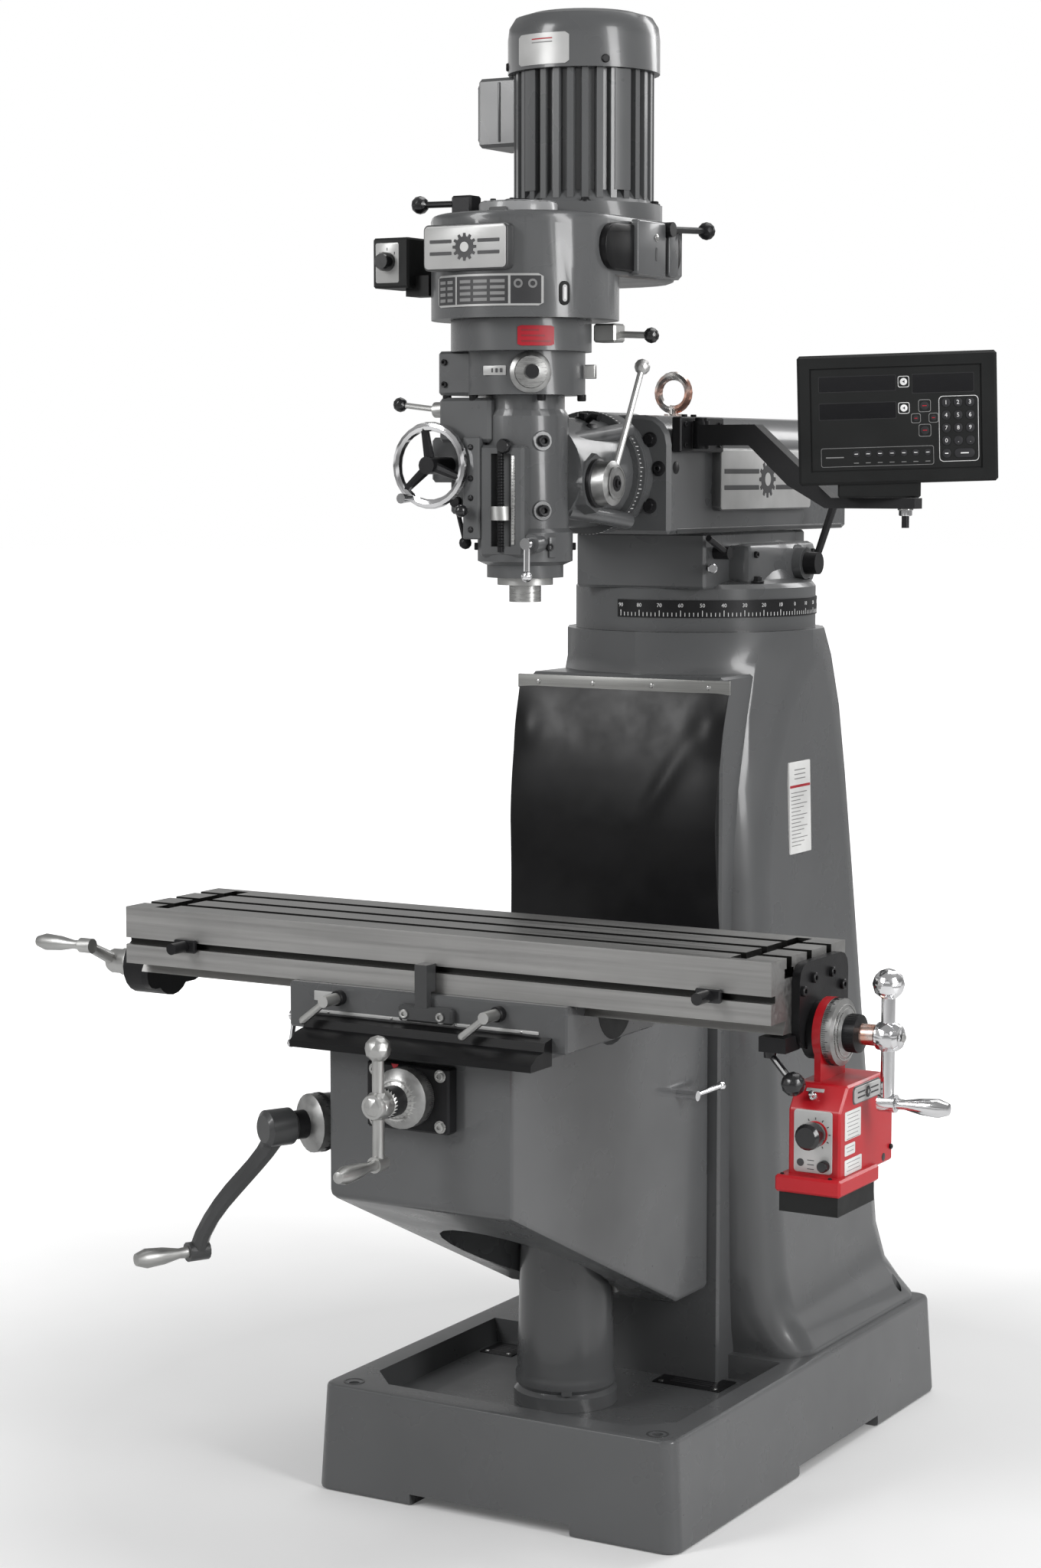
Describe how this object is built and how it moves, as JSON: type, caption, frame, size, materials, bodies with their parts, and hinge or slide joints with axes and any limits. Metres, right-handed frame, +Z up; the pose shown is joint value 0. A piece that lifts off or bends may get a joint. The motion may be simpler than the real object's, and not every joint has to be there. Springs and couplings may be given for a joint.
{
  "type": "vertical milling machine",
  "caption": "Knee-type vertical milling machine with swivel turret, sliding ram, variable-speed head, three-slot table, red power feed and digital readout",
  "frame": {"origin": "middle of the base's underside between its front and rear feet, on the column's centre plane", "axes": "+X to the operator's right along the table, +Y from the operator to the column, +Z up"},
  "size_m": [1.4876, 1.3803, 2.225],
  "materials": {
    "grey_enamel": "gloss",
    "black_rubber": "satin",
    "black_oxide": "satin",
    "ground_steel": "satin",
    "satin_metal": "satin",
    "chrome": "gloss",
    "black_plastic": "matte",
    "red_enamel": "gloss",
    "coppery_steel": "gloss"
  },
  "bodies": {
    "frame": {"column_base": "grey_enamel", "screw_pedestal": "grey_enamel", "way_cover": "black_rubber"},
    "knee_unit": {"knee": "grey_enamel", "cross_screw_bracket": "black_oxide"},
    "elevating_screw_unit": {"elevating_screw": "ground_steel"},
    "knee_crank_unit": {"knee_crank": "satin_metal"},
    "knee_crank_grip_unit": {"knee_crank_grip": "satin_metal"},
    "cross_crank_unit": {"cross_crank": "satin_metal"},
    "cross_crank_grip_unit": {"cross_crank_grip": "satin_metal"},
    "knee_lock_unit": {"knee_lock_lever": "chrome"},
    "saddle_unit": {"saddle": "grey_enamel", "saddle_wiper_cover": "black_rubber", "table_stop_bracket": "black_oxide"},
    "table_lock_left_unit": {"table_lock_lever_left": "satin_metal"},
    "table_lock_right_unit": {"table_lock_lever_right": "satin_metal"},
    "saddle_lock_unit": {"saddle_lock_lever": "chrome"},
    "table_unit": {"table": "ground_steel", "left_end_bracket": "black_oxide", "right_end_bracket": "black_oxide", "power_feed_housing": "red_enamel"},
    "stop_dog_left_unit": {"stop_dog_left": "black_oxide"},
    "stop_dog_right_unit": {"stop_dog_right": "black_oxide"},
    "leadscrew_unit": {"table_leadscrew": "ground_steel", "left_crank": "satin_metal", "right_crank": "chrome"},
    "left_crank_grip_unit": {"left_crank_grip": "satin_metal"},
    "right_crank_grip_unit": {"right_crank_grip": "chrome"},
    "power_feed_lever_unit": {"power_feed_lever": "black_oxide"},
    "power_feed_speed_unit": {"power_feed_speed_knob": "black_plastic"},
    "turret_unit": {"turret": "grey_enamel"},
    "ram_pinion_unit": {"ram_pinion_lever": "black_oxide"},
    "ram_lock_unit": {"ram_lock_lever": "black_oxide"},
    "ram_unit": {"ram": "grey_enamel", "lifting_eye": "coppery_steel", "dro_clamp": "black_oxide"},
    "dro_arm_unit": {"dro_arm": "black_oxide"},
    "dro_display_unit": {"dro_display": "black_plastic"},
    "head_unit": {"head_casting": "grey_enamel", "gear_housing": "grey_enamel", "belt_housing": "grey_enamel", "motor_body": "grey_enamel", "motor_fan_cover": "grey_enamel", "drive_belt": "black_rubber", "switch_box": "black_plastic"},
    "spindle_pulley_unit": {"spindle_pulley": "satin_metal"},
    "motor_rotor_unit": {"motor_rotor": "satin_metal"},
    "quill_unit": {"quill": "satin_metal"},
    "spindle_unit": {"spindle": "ground_steel"},
    "quill_feed_unit": {"quill_feed_lever": "chrome"},
    "quill_lock_unit": {"quill_lock_lever": "chrome"},
    "fine_feed_unit": {"fine_feed_handwheel": "chrome"},
    "feed_trip_unit": {"feed_trip_lever": "black_oxide"},
    "depth_stop_unit": {"depth_stop_nut": "satin_metal"},
    "feed_engage_unit": {"feed_engage_lever": "black_oxide"},
    "feed_selector_unit": {"feed_selector_knob": "satin_metal"},
    "brake_unit": {"brake_lever": "black_oxide"},
    "belt_tension_unit": {"belt_tension_lever": "black_oxide"},
    "range_unit": {"range_lever": "black_oxide"},
    "switch_unit": {"switch_knob": "black_plastic"}
  },
  "joints": [
    {"name": "knee_slide", "type": "slide", "parent": "frame", "child": "knee_unit", "axis": [0, 0, 1], "range_m": [-0.012, 0.3]},
    {"name": "saddle_slide", "type": "slide", "parent": "knee_unit", "child": "saddle_unit", "axis": [0, 1, 0], "range_m": [0, 0.28]},
    {"name": "table_slide", "type": "slide", "parent": "saddle_unit", "child": "table_unit", "axis": [1, 0, 0], "range_m": [-0.26, 0.3]},
    {"name": "quill_slide", "type": "slide", "parent": "head_unit", "child": "quill_unit", "axis": [0, 0, -1], "range_m": [0, 0.127], "stiffness_N_per_m": 60, "springref_m": -0.6},
    {"name": "ram_slide", "type": "slide", "parent": "turret_unit", "child": "ram_unit", "axis": [0, 1, 0], "range_m": [-0.2, 0.1]},
    {"name": "turret_swivel", "type": "hinge", "parent": "frame", "child": "turret_unit", "pos_m": [0, 0.19, 1.3], "axis": [0, 0, 1], "range_deg": [-180, 180]},
    {"name": "head_tilt", "type": "hinge", "parent": "ram_unit", "child": "head_unit", "pos_m": [0, -0.155, 1.548], "axis": [0, 1, 0], "range_deg": [-90, 30]},
    {"name": "knee_crank_turn", "type": "hinge", "parent": "knee_unit", "child": "knee_crank_unit", "pos_m": [-0.19313, -0.61603, 0.61], "axis": [-0.454, -0.891, 0], "range_deg": [-1703.79, 42522.68]},
    {"name": "cross_crank_turn", "type": "hinge", "parent": "knee_unit", "child": "cross_crank_unit", "pos_m": [0, -0.7, 0.68], "axis": [0, 1, 0], "range_deg": [-3, 19845.52]},
    {"name": "table_crank_turn", "type": "hinge", "parent": "table_unit", "child": "leadscrew_unit", "pos_m": [0, -0.51, 0.796], "axis": [1, 0, 0], "range_deg": [-18428.2, 21262.84]},
    {"name": "elevating_screw_turn", "type": "hinge", "parent": "knee_unit", "child": "elevating_screw_unit", "pos_m": [0, -0.237, 0.4], "axis": [0, 0, 1], "range_deg": [-1703.79, 42522.68]},
    {"name": "motor_spin", "type": "hinge", "parent": "head_unit", "child": "motor_rotor_unit", "pos_m": [0, -0.187, 1.9], "axis": [0, 0, 1], "continuous": true},
    {"name": "spindle_pulley_spin", "type": "hinge", "parent": "head_unit", "child": "spindle_pulley_unit", "pos_m": [0, -0.362, 1.8], "axis": [0, 0, 1], "continuous": true},
    {"name": "spindle_spin", "type": "hinge", "parent": "quill_unit", "child": "spindle_unit", "pos_m": [0, -0.362, 1.36], "axis": [0, 0, 1], "continuous": true},
    {"name": "quill_feed_turn", "type": "hinge", "parent": "head_unit", "child": "quill_feed_unit", "pos_m": [0.0853, -0.3, 1.533], "axis": [1, 0, 0], "range_deg": [-1, 201]},
    {"name": "ram_pinion_turn", "type": "hinge", "parent": "turret_unit", "child": "ram_pinion_unit", "pos_m": [0.1653, 0.258, 1.403], "axis": [1, 0, 0], "range_deg": [-95, 50]},
    {"name": "fine_feed_turn", "type": "hinge", "parent": "head_unit", "child": "fine_feed_unit", "pos_m": [-0.1115, -0.445, 1.559], "axis": [0, -1, 0], "continuous": true},
    {"name": "dro_arm_swing", "type": "hinge", "parent": "ram_unit", "child": "dro_arm_unit", "pos_m": [0.15, -0.09, 1.6045], "axis": [0, 0, 1], "range_deg": [-15, 25]},
    {"name": "dro_swivel", "type": "hinge", "parent": "dro_arm_unit", "child": "dro_display_unit", "pos_m": [0.474, -0.098, 1.627], "axis": [0, 0, 1], "range_deg": [-10, 25]},
    {"name": "knee_crank_grip_spin", "type": "hinge", "parent": "knee_crank_unit", "child": "knee_crank_grip_unit", "pos_m": [-0.35584, -0.7283, 0.42], "axis": [-0.454, -0.891, 0], "continuous": true},
    {"name": "cross_crank_grip_spin", "type": "hinge", "parent": "cross_crank_unit", "child": "cross_crank_grip_unit", "pos_m": [0, -0.7783, 0.5986], "axis": [0, -1, 0], "continuous": true},
    {"name": "left_crank_grip_spin", "type": "hinge", "parent": "leadscrew_unit", "child": "left_crank_grip_unit", "pos_m": [-0.6623, -0.577, 0.828], "axis": [-1, 0, 0], "continuous": true},
    {"name": "right_crank_grip_spin", "type": "hinge", "parent": "leadscrew_unit", "child": "right_crank_grip_unit", "pos_m": [0.6623, -0.51, 0.7055], "axis": [1, 0, 0], "continuous": true},
    {"name": "stop_dog_left_slide", "type": "slide", "parent": "table_unit", "child": "stop_dog_left_unit", "axis": [1, 0, 0], "range_m": [-0.08, 0.08]},
    {"name": "stop_dog_right_slide", "type": "slide", "parent": "table_unit", "child": "stop_dog_right_unit", "axis": [1, 0, 0], "range_m": [-0.08, 0.08]},
    {"name": "depth_stop_slide", "type": "slide", "parent": "head_unit", "child": "depth_stop_unit", "axis": [0, 0, 1], "range_m": [-0.03, 0.06]},
    {"name": "knee_lock_turn", "type": "hinge", "parent": "knee_unit", "child": "knee_lock_unit", "pos_m": [0.1523, -0.159, 0.606], "axis": [1, 0, 0], "range_deg": [-40, 40]},
    {"name": "table_lock_left_turn", "type": "hinge", "parent": "saddle_unit", "child": "table_lock_left_unit", "pos_m": [-0.142, -0.66, 0.801], "axis": [0, 1, 0], "range_deg": [0, 60]},
    {"name": "table_lock_right_turn", "type": "hinge", "parent": "saddle_unit", "child": "table_lock_right_unit", "pos_m": [0.123, -0.66, 0.801], "axis": [0, 1, 0], "range_deg": [0, 60]},
    {"name": "saddle_lock_turn", "type": "hinge", "parent": "saddle_unit", "child": "saddle_lock_unit", "pos_m": [-0.2303, -0.615, 0.762], "axis": [1, 0, 0], "range_deg": [-40, 40]},
    {"name": "ram_lock_turn", "type": "hinge", "parent": "turret_unit", "child": "ram_lock_unit", "pos_m": [0.1143, 0.03, 1.424], "axis": [1, 0, 0], "range_deg": [-30, 30]},
    {"name": "quill_lock_turn", "type": "hinge", "parent": "head_unit", "child": "quill_lock_unit", "pos_m": [0.046, -0.4263, 1.4465], "axis": [0, -1, 0], "range_deg": [-45, 45]},
    {"name": "power_feed_lever_turn", "type": "hinge", "parent": "table_unit", "child": "power_feed_lever_unit", "pos_m": [0.508, -0.58, 0.7757], "axis": [0, 0, 1], "range_deg": [-40, 5]},
    {"name": "power_feed_speed_turn", "type": "hinge", "parent": "table_unit", "child": "power_feed_speed_unit", "pos_m": [0.579, -0.5853, 0.67], "axis": [0, -1, 0], "range_deg": [-150, 150]},
    {"name": "feed_trip_turn", "type": "hinge", "parent": "head_unit", "child": "feed_trip_unit", "pos_m": [-0.093, -0.4003, 1.506], "axis": [0, -1, 0], "range_deg": [-30, 4]},
    {"name": "feed_engage_turn", "type": "hinge", "parent": "head_unit", "child": "feed_engage_unit", "pos_m": [-0.1073, -0.405, 1.64], "axis": [1, 0, 0], "range_deg": [-60, 60]},
    {"name": "feed_selector_turn", "type": "hinge", "parent": "head_unit", "child": "feed_selector_unit", "pos_m": [0.05074, -0.43439, 1.692], "axis": [0.5739, -0.8189, 0], "range_deg": [-120, 120]},
    {"name": "brake_turn", "type": "hinge", "parent": "head_unit", "child": "brake_unit", "pos_m": [0.1423, -0.2, 1.904], "axis": [1, 0, 0], "range_deg": [-25, 15]},
    {"name": "belt_tension_turn", "type": "hinge", "parent": "head_unit", "child": "belt_tension_unit", "pos_m": [-0.095, -0.37, 1.935], "axis": [0, 0, 1], "range_deg": [-40, 30]},
    {"name": "range_turn", "type": "hinge", "parent": "head_unit", "child": "range_unit", "pos_m": [0.105, -0.3, 1.75], "axis": [0, 0, 1], "range_deg": [-8, 35]},
    {"name": "switch_turn", "type": "hinge", "parent": "head_unit", "child": "switch_unit", "pos_m": [-0.1975, -0.4253, 1.856], "axis": [0, -1, 0], "range_deg": [-60, 60]}
  ],
  "couplings": [
    {"joint": "knee_crank_turn", "follows": "knee_slide", "rad_per_m": 2473.7},
    {"joint": "elevating_screw_turn", "follows": "knee_slide", "rad_per_m": 2473.7},
    {"joint": "cross_crank_turn", "follows": "saddle_slide", "rad_per_m": 1236.8},
    {"joint": "table_crank_turn", "follows": "table_slide", "rad_per_m": 1236.8},
    {"joint": "quill_feed_turn", "follows": "quill_slide", "rad_per_m": 27.486},
    {"joint": "ram_pinion_turn", "follows": "ram_slide", "rad_per_m": 8},
    {"joint": "spindle_pulley_spin", "follows": "motor_spin", "ratio": 1},
    {"joint": "spindle_spin", "follows": "motor_spin", "ratio": 1}
  ]
}
